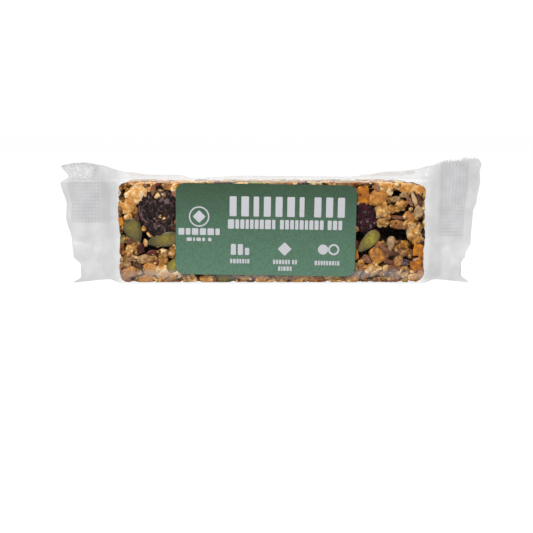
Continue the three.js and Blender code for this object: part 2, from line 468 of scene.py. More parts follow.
def film_tint(tree, place, marks, grooves):
    """What the clear film takes from the light: least over the bar, more where two layers are sealed
    and in the jaws' marks, with painted shade along the ribs and grooves and specks in the crumpled ears."""
    patches, specks = (
        add_node(tree, "ShaderNodeTexNoise", {
            "Vector": place, "Scale": 1 / (size * MM), "Detail": detail,
        })
        for size, detail in ((FILM_PATCH, 3.0), (FILM_SPECK, 2.0))
    )
    over_bar, in_seal, in_ear = (
        add_node(tree, "ShaderNodeValToRGB", {"Fac": source}) for source in (patches, patches, specks)
    )
    set_stops(over_bar, [(0.3, "#f4f4f4"), (0.7, "#f8f8f8")])
    set_stops(in_seal, [(0.35, "#e6e6e6"), (0.65, "#eeeeee")])
    set_stops(in_ear, [(0.4, "#f0f0f0"), (0.6, "#ffffff")])
    # Painted shade along the ribs and grooves: the tint darkens and lightens with them, in place of the
    # light they would bend.
    embossed = add_node(tree, "ShaderNodeMath", {0: grooves, 1: marks["ribbed"]}, operation="ADD")
    shade = add_node(tree, "ShaderNodeMapRange", {
        "Value": embossed, "From Min": -2, "From Max": 1, "To Min": 0.92, "To Max": 1.02,
    })
    tint = add_node(tree, "ShaderNodeMix", {0: marks["sealed"], 6: over_bar, 7: in_seal},
                    data_type="RGBA")
    for share, over in (1.0, shade), (marks["jaw"], srgb("#f7f7f8")), (marks["ear"], in_ear):
        tint = add_node(tree, "ShaderNodeMix", {0: share, 6: tint.outputs[2], 7: over},
                        data_type="RGBA", blend_type="MULTIPLY")
    return tint.outputs[2]


def film_material():
    """Oriented polypropylene film, cast clear: hard narrow glints, a faint grey veil of painted glare where
    it is one layer over the bar, and a milky embossed band where jaws have crimped two layers together."""
    material, tree = new_material("clear_film_cast_and_crimped")
    place = add_node(tree, "ShaderNodeTexCoord").outputs["Object"]
    marks = {
        key: add_node(tree, "ShaderNodeAttribute", attribute_name=key).outputs["Fac"]
        for key in ("sealed", "ribbed", "grooved", "jaw", "ear", "glare")
    }
    height = add_node(tree, "ShaderNodeSeparateXYZ", {"Vector": place}).outputs["Z"]

    # Grooves that cross the ribs, one for each rib pitch of height.
    pitch = 2 * math.pi / (CRIMP_PITCH * MM)
    grooves = add_node(tree, "ShaderNodeMath", {0: height, 1: pitch}, operation="MULTIPLY")
    grooves = add_node(tree, "ShaderNodeMath", {0: grooves}, operation="SINE")
    grooves = add_node(tree, "ShaderNodeMath", {0: grooves, 1: marks["grooved"]}, operation="MULTIPLY")
    bump = add_node(tree, "ShaderNodeBump", {
        "Strength": 0.6, "Distance": GROOVE_DEPTH * MM, "Height": grooves,
    })

    tint = film_tint(tree, place, marks, grooves)
    clear = add_node(tree, "ShaderNodeBsdfTransparent", {"Color": tint})
    veil = add_node(tree, "ShaderNodeBsdfPrincipled", {
        "Base Color": srgb("#b4b4b5"), "Roughness": 0.35, "Specular IOR Level": 0.2, "Normal": bump,
    })
    # The veil's share: milky where two layers are sealed, plus painted glare over the bar.
    milk = add_node(tree, "ShaderNodeMapRange", {"Value": marks["sealed"], "To Max": 0.07})
    milk_and_painted_glare = add_node(tree, "ShaderNodeMath", {0: marks["glare"], 1: 0.25, 2: milk},
                    operation="MULTIPLY_ADD")
    body = add_node(tree, "ShaderNodeMixShader", {0: milk_and_painted_glare, 1: clear, 2: veil})

    # The gloss is sharp over the bar and blurred in the seals, where it is also held back most.
    blur = add_node(tree, "ShaderNodeMapRange", {
        "Value": marks["sealed"], "To Min": 0.12, "To Max": 0.34,
    })
    gloss = add_node(tree, "ShaderNodeBsdfAnisotropic", {
        "Color": (1, 1, 1, 1), "Normal": bump, "Roughness": blur,
    })
    edge = add_node(tree, "ShaderNodeFresnel", {"IOR": 1.12, "Normal": bump})
    most = add_node(tree, "ShaderNodeMapRange", {
        "Value": marks["sealed"], "From Max": 0.3, "To Min": 0.22, "To Max": 0.08,
    })
    share = add_node(tree, "ShaderNodeMath", {0: edge, 1: most}, operation="MINIMUM")
    shader = add_node(tree, "ShaderNodeMixShader", {0: share, 1: body, 2: gloss})
    add_node(tree, "ShaderNodeOutputMaterial", {"Surface": shader})
    return material


# ---- How a piece joins the frame ----


def set_up_piece(piece, material, replaced=None):
    piece.data.materials.clear()
    piece.data.materials.append(material)
    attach(piece, "root")
    if replaced:
        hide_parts(replaced)


# ---- Label and its print ----

# Row of print: middle across and up from the label's middle, tile height, gap, and tile widths.
# A width below 0 is a bare space.
PRINT_ROWS = [
    (7.8, 8.7, 7.4, 1.75, [2.6, 2.8, 2.0, 2.6, 2.6, 2.8, 1.8, -0.15, 2.6, 2.6, 2.6]),
    (7.1, 2.1, 3.5, 0.45, [2.3, 1.4, 1.5, 1.2, 1.3, 1.4, 1.5, 2.2, 1.2, -0.8, 1.5, 1.4, 1.4, 1.2, 1.5,
                           1.2, 1.5, 1.5, 1.4, -0.6, 1.5, 1.6, 1.4]),
    (-24.8, -0.9, 2.5, 0.55, [2.2, 1.7, 2.4, 2.3, 2.4, 1.6]),
    (-24.8, -3.8, 1.3, 0.5, [1.9, 0.7, 1.7, 1.0, -0.2, 1.2]),
    (-9.6, -11.8, 1.7, 0.3, [0.8, 1.0, 0.8, 0.7, 0.8, 0.5, 0.8]),
    (7.3, -11.9, 1.7, 0.3, [0.8, 0.8, 0.9, 0.8, 0.8, 0.7, -0.2, 0.8, 0.7]),
    (7.3, -14.4, 1.7, 0.3, [0.8, 0.5, 0.9, 0.9, 0.7]),
    (23.0, -12.1, 1.7, 0.3, [0.9, 0.7, 0.8, 0.7, 0.7, 0.9, 0.8, 0.5, 0.8]),
]
PRINT_LIFT = 0.02
PRINT_THICKNESS = 0.03
PAPER_WAVE = 0.08        # how far the paper follows the lumps under it
GRID_STEP = 2.2


def flat_tile(across, up, width, height, corner, turn=0.0):
    """A flat rounded rectangle in the XY plane."""
    bpy.ops.mesh.primitive_plane_add(size=1, location=(across * MM, up * MM, 0), rotation=(0, 0, turn))
    tile = bpy.context.object
    tile.scale = (width * MM, height * MM, 1)
    bpy.ops.object.transform_apply(location=True, rotation=True, scale=True)
    with edit_mode():
        bpy.ops.mesh.bevel(offset=corner * MM, segments=4, affect="VERTICES")
    return tile


def flat_disc(across, up, radius, rim=None):
    """A flat disc in the XY plane, or a ring of a rim's width."""
    bpy.ops.mesh.primitive_circle_add(vertices=40, radius=radius * MM, fill_type="NGON",
                                      location=(across * MM, up * MM, 0))
    disc = bpy.context.object
    bpy.ops.object.transform_apply(location=True)
    if rim:
        with edit_mode():
            bpy.ops.mesh.inset(thickness=rim * MM)
            bpy.ops.mesh.delete(type="FACE")
    return disc


def print_tiles():
    """The print, flat in the XY plane: rows of plain tiles, a ringed emblem and three signs."""
    tiles = []
    for middle, up, height, gap, widths in PRINT_ROWS:
        total = sum(abs(w) + gap for w in widths) - gap
        place = middle - total / 2
        for width in widths:
            if width > 0:
                corner = min(0.35, width / 4)
                tiles.append(flat_tile(place + width / 2, up, width, height, corner))
            place += abs(width) + gap
    tiles += [
        flat_disc(-24.8, 4.7, 3.8, rim=0.5),
        flat_tile(-24.8, 4.7, 3.4, 3.4, 0.4, turn=math.pi / 4),
        flat_tile(-12.0, -7.4, 1.9, 4.1, 0.4),
        flat_tile(-9.4, -7.4, 1.9, 4.1, 0.4),
        flat_tile(-6.9, -8.1, 1.6, 2.7, 0.4),
        flat_tile(7.1, -7.0, 3.7, 3.7, 0.4, turn=math.pi / 4),
        flat_disc(21.4, -7.0, 1.9),
        flat_disc(25.4, -7.0, 2.1, rim=0.7),
    ]
    return tiles


def bisect_often(piece):
    """Cuts a flat piece into a fine grid, so that it can follow the paper's waves."""
    bpy.context.view_layer.objects.active = piece
    with edit_mode():
        for normal, size in ((1, 0, 0), LABEL_WIDTH), ((0, 1, 0), LABEL_HEIGHT):
            cuts = round(size / GRID_STEP)
            for place in np.linspace(-size / 2, size / 2, cuts + 1)[1:-1]:
                bpy.ops.mesh.select_all(action="SELECT")
                bpy.ops.mesh.bisect(plane_co=Vector(normal) * place * MM, plane_no=normal)


def stick_on(piece, name, lift, thickness):
    """Stands a flat piece up at the label's place, gives it its thickness and the paper's waves."""
    piece.name = piece.data.name = name
    stand = Matrix.Rotation(LABEL_TILT, 4, "Y") @ Matrix.Rotation(math.pi / 2, 4, "X")
    place = Matrix.Translation((LABEL_CENTRE - [0, lift, 0]) * MM)
    piece.data.transform(place @ stand)
    wave = bpy.data.textures.get("paper_wave") or surface_texture("paper_wave", "CLOUDS", 13 * MM)
    finish_with(piece, "DISPLACE", texture=wave, strength=PAPER_WAVE * MM, mid_level=0.5, direction="Y",
                texture_coords="LOCAL")
    finish_with(piece, "SOLIDIFY", thickness=thickness * MM, offset=1)
    deselect()
    piece.select_set(True)
    bpy.ops.object.shade_smooth_by_angle(angle=math.radians(30))
    return piece


def make_label():
    deselect()
    paper = flat_tile(0, 0, LABEL_WIDTH, LABEL_HEIGHT, LABEL_CORNER)
    bisect_often(paper)
    return stick_on(paper, "paper_label", 0, LABEL_THICKNESS)


def make_print():
    deselect()
    tiles = print_tiles()
    for tile in tiles:
        tile.select_set(True)
    bpy.context.view_layer.objects.active = tiles[0]
    bpy.ops.object.join()
    joined = bpy.context.object
    bisect_often(joined)
    return stick_on(joined, "label_print", LABEL_THICKNESS + PRINT_LIFT, PRINT_THICKNESS)


SATIN = {"Roughness": 0.5, "Specular IOR Level": 0.25}
PRINT_GRAIN = 0.5


def label_paper_material():
    """Coated sticker paper, printed edge to edge: a satin green, darker towards its top with painted
    shade, with the faint grain of the print."""
    material, tree = new_material("sticker_paper_coated_and_printed")
    place = add_node(tree, "ShaderNodeTexCoord").outputs["Object"]
    height = add_node(tree, "ShaderNodeSeparateXYZ", {"Vector": place}).outputs["Z"]
    foot, top = ((LABEL_CENTRE[2] + way * LABEL_HEIGHT / 2) * MM for way in (-1, 1))
    height = add_node(tree, "ShaderNodeMapRange", {"Value": height, "From Min": foot, "From Max": top})
    grain = add_node(tree, "ShaderNodeTexNoise", {
        "Vector": place, "Scale": 1 / (PRINT_GRAIN * MM), "Detail": 2.0,
    })
    green, fleck = (add_node(tree, "ShaderNodeValToRGB", {"Fac": source}) for source in (height, grain))
    # Painted shade: the green darkens from the label's foot to its top.
    set_stops(green, [(0, "#4d6c59"), (0.5, "#415f4c"), (1, "#2d4431")])
    set_stops(fleck, [(0.35, "#dedede"), (0.65, "#ffffff")])
    colour = add_node(tree, "ShaderNodeMix", {0: 1.0, 6: green, 7: fleck},
                      data_type="RGBA", blend_type="MULTIPLY")
    shader = add_node(tree, "ShaderNodeBsdfPrincipled", {"Base Color": colour.outputs[2], **SATIN})
    add_node(tree, "ShaderNodeOutputMaterial", {"Surface": shader})
    return material


def label_ink_material():
    """Screen ink on the sticker: opaque pale grey with a satin face."""
    material, tree = new_material("label_ink_screen_printed")
    shader = add_node(tree, "ShaderNodeBsdfPrincipled", {"Base Color": srgb("#a1a1a5"), **SATIN})
    add_node(tree, "ShaderNodeOutputMaterial", {"Surface": shader})
    return material


# ---- The bar inside the film ----

PRESS_SOFTNESS = 1.2     # the broad faces were rolled, so grains keep a little of their roundness
KNIFE_SOFTNESS = 0.4     # the narrow sides and the ends were cut, so grains are flatter there
BAR_CORNER = 1.3
END_CORNERS = 4.0, 5.0   # the corners that show at the front and the back of the left and right end
END_LOSS = 0.7           # how far the ends have crumbled back in places
TOP_LOSS = 1.3           # how far the top has sunk at the right end


def squeeze(value, limit, softness):
    """Values pushed back inside a limit, evenly at the limit and less below it."""
    size = abs(value)
    over = size - (limit - softness)
    held = np.where(over > 0, limit - softness * np.exp(-np.maximum(over, 0) / softness), size)
    return np.sign(value) * held


def crumbly(points, size):
    """Uneven crumbs of a size with narrow creases between them, from -1 in a crease to 0."""
    shift = np.stack([noise_at(points, size / 1.6, seed) for seed in (3.0, 7.0, 11.0)], 1)
    warped = points / size + 0.5 * shift
    first, second = np.array([noise.voronoi(p)[0][:2] for p in warped]).T
    return -1 + smoothstep(second - first, 0, 0.3) * (1 - 0.5 * first)


def wrinkled(points, size):
    """Sharp ridges with hollows of a size between them, from -1 in a hollow to 0."""
    return -np.minimum(1, 1.6 * abs(noise_at(points, size)) + 0.5 * abs(noise_at(points, size * 0.45, 5.0)))


def dented(points, size):
    """Shallow hollows of a size, from -1 to 0."""
    return 0.5 * noise_at(points, size) - 0.5


def round_off(local, axes, radius):
    """Points held within the bar's box as rounded along some axes, by a radius for each point."""
    half = BAR_HALF[axes]
    radius = np.broadcast_to(radius, len(local))[:, None]
    core = np.clip(local[:, axes], radius - half, half - radius)
    out = local[:, axes] - core
    length = np.linalg.norm(out, axis=1, keepdims=True)
    rounded = local.copy()
    rounded[:, axes] = core + out * np.minimum(1, radius / np.maximum(length, TINY))
    return rounded


def press(points):
    """Grain points as the press and the knife leave them, how deep below the bar's surface each
    lies, and how much of the grain the knife took off there."""
    local = points - BAR_MIDDLE
    over = np.maximum(abs(local[:, [0, 2]]) - BAR_HALF[[0, 2]], 0).max(1)
    # The ends have crumbled back in places, and the top has sunk towards the right end.
    loss = np.sin(local[:, 2] / 3.1 + np.sign(local[:, 0])) * np.sin(local[:, 1] / 3.7 + 1.3)
    top_loss = TOP_LOSS * smoothstep(local[:, 0], 45, 57) * smoothstep(local[:, 2], 5, 18)
    half_height = BAR_HALF[2] - top_loss
    held = np.stack([
        squeeze(local[:, 0], BAR_HALF[0] - END_LOSS * (0.5 + 0.5 * loss), KNIFE_SOFTNESS),
        squeeze(local[:, 1], BAR_HALF[1], PRESS_SOFTNESS),
        squeeze(local[:, 2], half_height, KNIFE_SOFTNESS),
    ], 1)
    left_corner, right_corner = END_CORNERS
    held = round_off(held, [0, 2], np.where(local[:, 0] < 0, left_corner, right_corner))
    held = round_off(held, [0, 1, 2], BAR_CORNER)
    room = BAR_HALF - abs(held)
    room[:, 2] -= top_loss
    return held + BAR_MIDDLE, room.min(1), over


def take_shape(piece):
    """A grain's shape as points and triangles. The piece it was modelled as is put away."""
    bpy.ops.object.transform_apply(location=True, rotation=True, scale=True)
    finish_with(piece, "TRIANGULATE")
    mesh = piece.data
    points = np.empty(len(mesh.vertices) * 3)
    mesh.vertices.foreach_get("co", points)
    faces = np.empty(len(mesh.polygons) * 3, np.int32)
    mesh.polygons.foreach_get("vertices", faces)
    bpy.data.objects.remove(piece)
    return points.reshape(-1, 3), faces.reshape(-1, 3)


def model_ball(fineness):
    deselect()
    bpy.ops.mesh.primitive_ico_sphere_add(subdivisions=fineness, radius=0.5)
    return bpy.context.object


def displace(piece, place, *layers):
    """Displaces a shape by layers of texture, taken at a place of its own along X."""
    piece.data.transform(Matrix.Translation((place, 0, 0)))
    for layer in layers:
        finish_with(piece, "DISPLACE", texture_coords="LOCAL", **layer)
    piece.data.transform(Matrix.Translation((-place, 0, 0)))


def model_cluster(number, fineness):
    """A clump of toasted oats, one unit across: round lobes with a crumbly skin."""
    clump = model_ball(fineness)
    lobes = surface_texture(f"lobes_{number}", "VORONOI", 0.42)
    crumbs = surface_texture(f"crumbs_{number}", "CLOUDS", 0.16, noise_depth=2)
    displace(clump, number * 1.7, {"texture": lobes, "strength": -0.34, "mid_level": 0.35},
             {"texture": crumbs, "strength": 0.16})
    return take_shape(clump)


def model_pebble(number, fineness):
    """A smooth rounded lump, such as a bit of nut or a puffed grain, one unit across."""
    pebble = model_ball(fineness)
    dents = surface_texture(f"dents_{number}", "CLOUDS", 0.55)
    displace(pebble, number * 2.3, {"texture": dents, "strength": 0.32})
    return take_shape(pebble)


def model_seed(taper, bend, segments=16, rings=12):
    """A seed one unit long on X, wide on Y and flat on Z, drawn to a point towards +X."""
    deselect()
    bpy.ops.mesh.primitive_uv_sphere_add(segments=segments, ring_count=rings, radius=0.5,
                                         rotation=(0, math.pi / 2, 0))
    seed = bpy.context.object
    bpy.ops.object.transform_apply(rotation=True)
    finish_with(seed, "SIMPLE_DEFORM", deform_method="TAPER", deform_axis="X", factor=-taper)
    finish_with(seed, "SIMPLE_DEFORM", deform_method="BEND", deform_axis="Y", angle=bend)
    return take_shape(seed)


def model_flake(number):
    """A rolled oat one unit long: a thin disc, cracked at the rim and curled."""
    deselect()
    bpy.ops.mesh.primitive_uv_sphere_add(segments=16, ring_count=8, radius=0.5)
    flake = bpy.context.object
    with edit_mode():
        bpy.ops.transform.resize(value=(1, 0.8, 0.14))
    ripple = {"texture": surface_texture(f"ripple_{number}", "CLOUDS", 0.45), "strength": 0.3}
    displace(flake, number * 1.3, {**ripple, "direction": "Z"}, ripple)
    return take_shape(flake)


def model_berry(number, fineness):
    """A whole dried berry one unit across, shrunk into ridges and furrows."""
    berry = model_ball(fineness)
    sag = surface_texture(f"sag_{number}", "CLOUDS", 0.6)
    folds = surface_texture(f"folds_{number}", "MUSGRAVE", 0.3, musgrave_type="RIDGED_MULTIFRACTAL",
                            octaves=2.0, noise_intensity=0.6)
    displace(berry, number * 1.9, {"texture": sag, "strength": 0.1}, {"texture": folds, "strength": 0.05})
    return take_shape(berry)


def model_chunk(number):
    """A chopped bit of date or apricot one unit across: a soft block with sticky rounded edges."""
    deselect()
    bpy.ops.mesh.primitive_cube_add(size=0.8)
    chunk = bpy.context.object
    with edit_mode():
        bpy.ops.mesh.bevel(offset=0.16, segments=2, affect="EDGES")
    finish_with(chunk, "SUBSURF", levels=1, render_levels=1)
    lumps = surface_texture(f"lumps_{number}", "CLOUDS", 0.5)
    displace(chunk, number * 2.9, {"texture": lumps, "strength": 0.3})
    return take_shape(chunk)


# The six sides of the bar: the axis that points out of each and its sign, then the two axes that
# run along it.
SIDES = {
    "front": (1, -1, 0, 2), "back": (1, 1, 0, 2),
    "top": (2, 1, 0, 1), "bottom": (2, -1, 0, 1),
    "left": (0, -1, 1, 2), "right": (0, 1, 1, 2),
}


def side_frame(side):
    """A side's two directions and its outward direction, as the rows of a matrix."""
    out, sign, first, second = SIDES[side]
    rows = np.zeros((3, 3))
    rows[0, first], rows[1, second], rows[2, out] = 1, 1, sign
    if np.linalg.det(rows) < 0:
        rows[0] *= -1
    return rows


def side_point(side, first, second, sink):
    """A point at a place along a side, a depth under it."""
    out, sign, first_axis, second_axis = SIDES[side]
    local = np.zeros(3)
    local[first_axis], local[second_axis] = first, second
    local[out] = sign * (BAR_HALF[out] - sink)
    return BAR_MIDDLE + local


def turn_matrix(spin, tilt, tilt_way):
    """A turn by spin in the side's plane after a tip by tilt out of it."""
    return np.array(
        Matrix.Rotation(spin, 3, "Z")
        @ Matrix.Rotation(tilt, 3, Vector((math.cos(tilt_way), math.sin(tilt_way), 0)))
    )


class Strewn:
    """Grains of one kind, gathered as one mesh. relief is the skin that the pressed grains get, and the
    last setting paints shade on each grain: its tone is that much higher along its crest than at its rim."""

    def __init__(self, shapes, relief=dented, relief_size=2.0, relief_depth=0.15, dome_shade=0.0):
        self.shapes = shapes
        self.relief = relief, relief_size, relief_depth
        self.dome_shade = dome_shade
        self.points, self.faces = [], []
        self.marks = {"tone": [], "depth": [], "cut": [], "hollow": []}
        self.count = 0

    def add(self, shape, centre, side, size, spin=0.0, tilt=0.0, tilt_way=0.0, tone=0.5):
        points, faces = self.shapes[shape % len(self.shapes)]
        turned = (points * size) @ turn_matrix(spin, tilt, tilt_way).T
        placed = turned @ side_frame(side) + centre
        placed, depth, cut = press(placed)
        relief, relief_size, relief_depth = self.relief
        level = relief(placed, relief_size)
        sunk = relief_depth * level * smoothstep(-depth, -relief_depth * 4, 0)
        placed += sunk[:, None] * side_frame(side)[2]
        self.points.append(placed)
        self.faces.append(faces + self.count)
        # Painted shade: the tone is raised along the grain's crest and lowered towards its rim.
        crest = np.maximum(0, points[:, 2] / points[:, 2].max()) ** 1.5
        marks = {"tone": tone + self.dome_shade * (crest - 0.5), "depth": depth, "cut": cut, "hollow": -level}
        for key, values in marks.items():
            self.marks[key].append(values)
        self.count += len(points)

    def make(self, name):
        marks = {key: np.concatenate(values) for key, values in self.marks.items()}
        return make_mesh(name, np.concatenate(self.points), np.concatenate(self.faces), **marks)


# A grain of the front: its kind and shape, its place across and up, its size, its spin in degrees,
# how far its middle lies under the face, and its tone.
Grain = namedtuple("Grain", "kind shape across up length width thickness spin sink tone")

# What shows best on the front, left of the label, then right of it, then along the foot.
FRONT_GRAINS = [Grain(*row) for row in (
    ("pebble", 0, -48.9, 34.2, 12.2, 7.2, 5.0, 22, 1.5, 0.92),
    ("pebble", 1, -53.7, 29.2, 6.8, 6.4, 5.0, -20, 1.8, 0.84),
    ("cluster", 4, -55.4, 36.4, 3.4, 2.6, 2.4, 30, 1.0, 0.50),
    ("pebble", 2, -53.6, 25.0, 3.6, 2.6, 2.2, 10, 0.9, 0.66),
    ("berry", 0, -42.6, 27.0, 15.4, 20.4, 9.5, 8, 2.4, 0.22),
    ("cluster", 2, -41.4, 33.2, 4.2, 4.0, 2.0, 30, -1.7, 0.86),
    ("cluster", 3, -41.6, 24.3, 4.6, 3.0, 1.8, 15, -1.7, 0.86),
    ("fruit", 0, -42.3, 37.4, 3.0, 1.8, 1.6, 20, 0.2, 0.70),
    ("pebble", 3, -38.9, 36.8, 5.6, 3.2, 2.6, -20, 0.9, 0.40),
    ("kernel", 0, -51.6, 19.9, 10.2, 6.7, 3.0, -68, 0.4, 0.42),
    ("kernel", 4, -56.0, 16.8, 3.6, 2.8, 1.6, 60, 0.3, 0.60),
    ("kernel", 1, -40.6, 16.5, 12.6, 5.3, 2.8, 190, 0.3, 0.50),
    ("cluster", 6, -42.6, 14.6, 2.6, 1.8, 1.4, 10, -0.3, 0.90),
    ("flax", 0, -52.9, 16.1, 4.2, 1.8, 1.2, 10, 0.0, 0.40),
    ("fruit", 2, -49.0, 13.4, 4.6, 3.4, 2.0, 100, 0.4, 0.30),
    ("fruit", 3, -44.6, 11.8, 5.6, 2.2, 2.0, 8, 0.4, 0.45),
    ("cluster", 0, -53.0, 11.9, 6.4, 6.2, 4.4, 60, 1.6, 0.72),
    ("chunk", 3, -56.4, 13.2, 2.8, 5.6, 3.0, 0, 0.6, 0.72),
    ("cluster", 1, -40.9, 11.2, 5.0, 4.8, 4.0, -15, 1.4, 0.84),
    ("cluster", 5, -41.2, 8.2, 5.4, 4.2, 4.0, 20, 1.4, 0.90),
    ("cluster", 4, -37.0, 11.8, 5.0, 5.4, 3.6, 0, 1.4, 0.70),
    ("kernel", 2, -36.9, 7.0, 6.4, 4.2, 2.4, 60, 0.3, 0.62),
    ("pebble", 2, -53.6, 4.2, 8.6, 4.4, 4.0, 5, 1.6, 0.55),
    ("flake", 2, -54.8, 7.8, 6.0, 4.6, 3.0, -60, 0.7, 0.45),
    ("flake", 0, -47.4, 9.4, 8.8, 4.6, 3.4, 8, 0.5, 0.50),
    ("pebble", 3, -46.0, 5.4, 5.8, 5.4, 4.2, 20, 1.3, 0.66),
    ("pebble", 4, -41.2, 4.4, 6.4, 6.2, 4.2, -20, 1.3, 0.97),
    ("pebble", 1, -36.4, 3.6, 6.4, 3.8, 3.6, -8, 1.3, 0.97),
    ("chunk", 1, -36.4, 20.6, 3.2, 4.6, 2.6, 30, 0.6, 0.10),
    ("chunk", 2, 33.6, 33.2, 5.6, 8.4, 3.8, 6, 0.8, 0.74),
    ("pebble", 4, 39.3, 32.5, 9.6, 6.2, 5.0, 22, 1.5, 0.66),
    ("pebble", 0, 41.6, 36.4, 9.4, 3.8, 3.6, -6, 1.2, 0.93),
    ("flake", 1, 45.0, 31.8, 5.4, 2.8, 2.4, 8, 0.4, 0.42),
    ("pebble", 1, 50.2, 36.2, 8.2, 4.2, 3.6, -8, 1.0, 0.74),
    ("pebble", 3, 54.9, 35.0, 4.8, 4.4, 3.6, 30, 1.2, 0.70),
    ("cluster", 5, 40.9, 27.8, 7.2, 7.0, 5.0, 60, 1.4, 0.88),
    ("cluster", 0, 41.2, 23.2, 5.0, 4.4, 3.4, 10, 1.3, 0.76),
    ("cluster", 1, 47.4, 29.4, 5.6, 5.2, 4.2, 0, 1.4, 0.66),
    ("berry", 1, 34.7, 24.8, 9.0, 12.0, 6.0, 4, 1.7, 0.84),
    ("kernel", 3, 36.0, 15.9, 10.7, 5.0, 3.2, 225, 0.2, 0.66),
    ("pebble", 3, 39.4, 10.8, 6.6, 6.8, 5.0, 0, 1.6, 0.62),
    ("sunflower", 0, 44.4, 15.0, 6.2, 3.2, 2.2, 262, 0.4, 0.60),
    ("flax", 0, 42.1, 13.3, 5.2, 2.1, 1.2, -42, 0.0, 0.60),
    ("flax", 0, 43.8, 8.3, 4.2, 2.0, 1.2, -10, 0.1, 0.40),
    ("flax", 0, 35.6, 9.2, 4.4, 2.6, 1.2, -48, 0.0, 0.70),
    ("flax", 0, 46.0, 5.6, 5.0, 2.6, 1.2, -24, 0.0, 0.60),
    ("flax", 0, 47.3, 24.9, 6.0, 1.5, 1.2, -6, 0.1, 0.60),
    ("cluster", 3, 37.4, 5.2, 8.8, 5.4, 4.4, 12, 1.1, 0.95),
    ("cluster", 4, 53.2, 20.0, 6.6, 9.6, 4.6, 20, 1.3, 0.90),
    ("pebble", 2, 51.3, 25.0, 5.4, 4.2, 3.4, -30, 1.3, 0.50),
    ("pebble", 3, 46.9, 22.3, 6.8, 3.4, 3.0, -12, 1.1, 0.38),
    ("chunk", 3, 54.9, 12.6, 5.4, 6.4, 4.2, -6, 0.8, 0.86),
    ("chunk", 0, 54.4, 7.2, 6.0, 6.2, 4.0, 20, 0.7, 0.72),
    ("flax", 0, 54.6, 31.4, 5.6, 2.0, 1.6, 108, 0.3, 0.20),
    ("sunflower", 0, 52.6, 32.2, 6.0, 1.8, 1.6, 112, 0.2, 1.00),
    ("flax", 0, 50.9, 31.4, 5.2, 1.6, 1.4, 120, 0.2, 0.80),
    ("sunflower", 0, 54.6, 27.4, 5.2, 3.8, 2.4, 84, 0.3, 0.70),
    ("cluster", 2, 48.6, 13.0, 7.4, 7.0, 4.6, 0, 1.8, 0.42),
    ("cluster", 5, 48.9, 4.6, 7.8, 5.2, 4.4, 0, 1.2, 0.86),
    ("berry", 2, 50.2, 7.9, 3.2, 2.6, 2.4, 0, 0.7, 0.50),
    ("pebble", 2, -47.6, 1.6, 6.4, 3.4, 3.4, 5, 1.0, 0.70),
    ("cluster", 3, -42.2, 0.9, 5.0, 2.4, 3.0, -4, 0.9, 0.80),
    ("cluster", 1, -31.2, 1.8, 7.4, 3.8, 4.2, 8, 1.0, 0.85),
    ("pebble", 0, -24.0, 1.5, 6.8, 3.6, 4.0, -6, 1.0, 0.75),
    ("kernel", 2, -17.4, 2.0, 9.0, 4.2, 2.4, 8, 0.4, 0.40),
    ("cluster", 2, -10.6, 1.7, 7.0, 3.8, 4.2, 12, 1.0, 0.80),
    ("pebble", 3, -3.6, 1.5, 6.8, 3.6, 4.0, -4, 1.0, 0.88),
    ("cluster", 6, 3.6, 1.8, 7.4, 3.8, 4.2, 0, 1.0, 0.70),
    ("pebble", 1, 10.8, 1.6, 6.6, 3.6, 4.0, 10, 1.0, 0.80),
    ("chunk", 2, 17.0, 1.6, 5.4, 3.6, 3.6, 0, 0.8, 0.60),
    ("cluster", 7, 23.4, 1.8, 7.4, 3.8, 4.2, -10, 1.0, 0.85),
    ("pebble", 4, 30.2, 1.6, 6.2, 3.6, 4.0, 4, 1.0, 0.78),
    ("cluster", 0, 43.0, 1.4, 6.8, 2.8, 3.6, -4, 1.0, 0.75),
    ("flake", 1, 49.4, 33.6, 4.2, 3.0, 2.2, 20, 0.5, 0.60),
)]

# Pockets on the front where grains lie deep and painted shade makes them black: place and radius.
FRONT_POCKETS = [
    (-47.4, 18.0, 2.2), (-45.2, 14.0, 1.5), (-55.9, 33.6, 1.4), (-50.4, 29.8, 1.1),
    (-36.6, 30.5, 2.2), (-49.6, 30.5, 1.3),
    (46.7, 34.0, 1.8), (48.4, 19.8, 2.4), (43.0, 18.8, 2.4), (33.8, 19.6, 2.0), (34.0, 11.8, 1.8),
    (46.5, 26.6, 1.2), (49.8, 27.2, 1.3), (51.6, 15.8, 1.2), (41.0, 8.0, 1.0), (40.0, 20.6, 2.0),
    (45.8, 18.2, 1.8), (37.6, 20.6, 1.4), (33.2, 16.0, 1.6), (48.6, 17.4, 2.4), (56.2, 24.8, 1.4),
    (54.2, 33.6, 1.0),
]

# The rest of every side: kind, how many at most, shortest and longest, width and thickness as
# shares of the length, how near two grains may come as a share of their size, and the tones.
STREWN_GRAINS = [
    ("berry", 9, (9, 14), 0.9, 0.6, 0.95, (0.1, 0.3)),
    ("kernel", 30, (10, 12.5), 0.5, 0.24, 0.80, (0.2, 0.7)),
    ("pebble", 70, (6.5, 10), 0.72, 0.6, 0.80, (0.3, 1.0)),
    ("cluster", 190, (5.5, 9), 0.85, 0.6, 0.78, (0.35, 1.0)),
    ("chunk", 40, (4, 7), 0.75, 0.6, 0.78, (0.3, 1.0)),
    ("flake", 110, (6, 8.5), 0.78, 0.6, 0.70, (0.2, 1.0)),
    ("sunflower", 40, (6, 8), 0.46, 0.3, 0.70, (0.2, 1.0)),
    ("puff", 190, (3.2, 5.5), 0.8, 0.65, 0.66, (0.2, 1.0)),
    ("bit", 420, (2.6, 4.8), 0.85, 0.7, 0.58, (0.2, 1.0)),
    ("fruit", 60, (2.6, 5), 0.6, 0.5, 0.6, (0.0, 1.0)),
    ("flax", 80, (4, 4.8), 0.48, 0.26, 0.6, (0.2, 0.9)),
]
TRIES = 12                # throws for each grain that is wanted
CRUMBS = 2400
CRUMB_SHAPE = np.array([1, 0.8, 0.6])

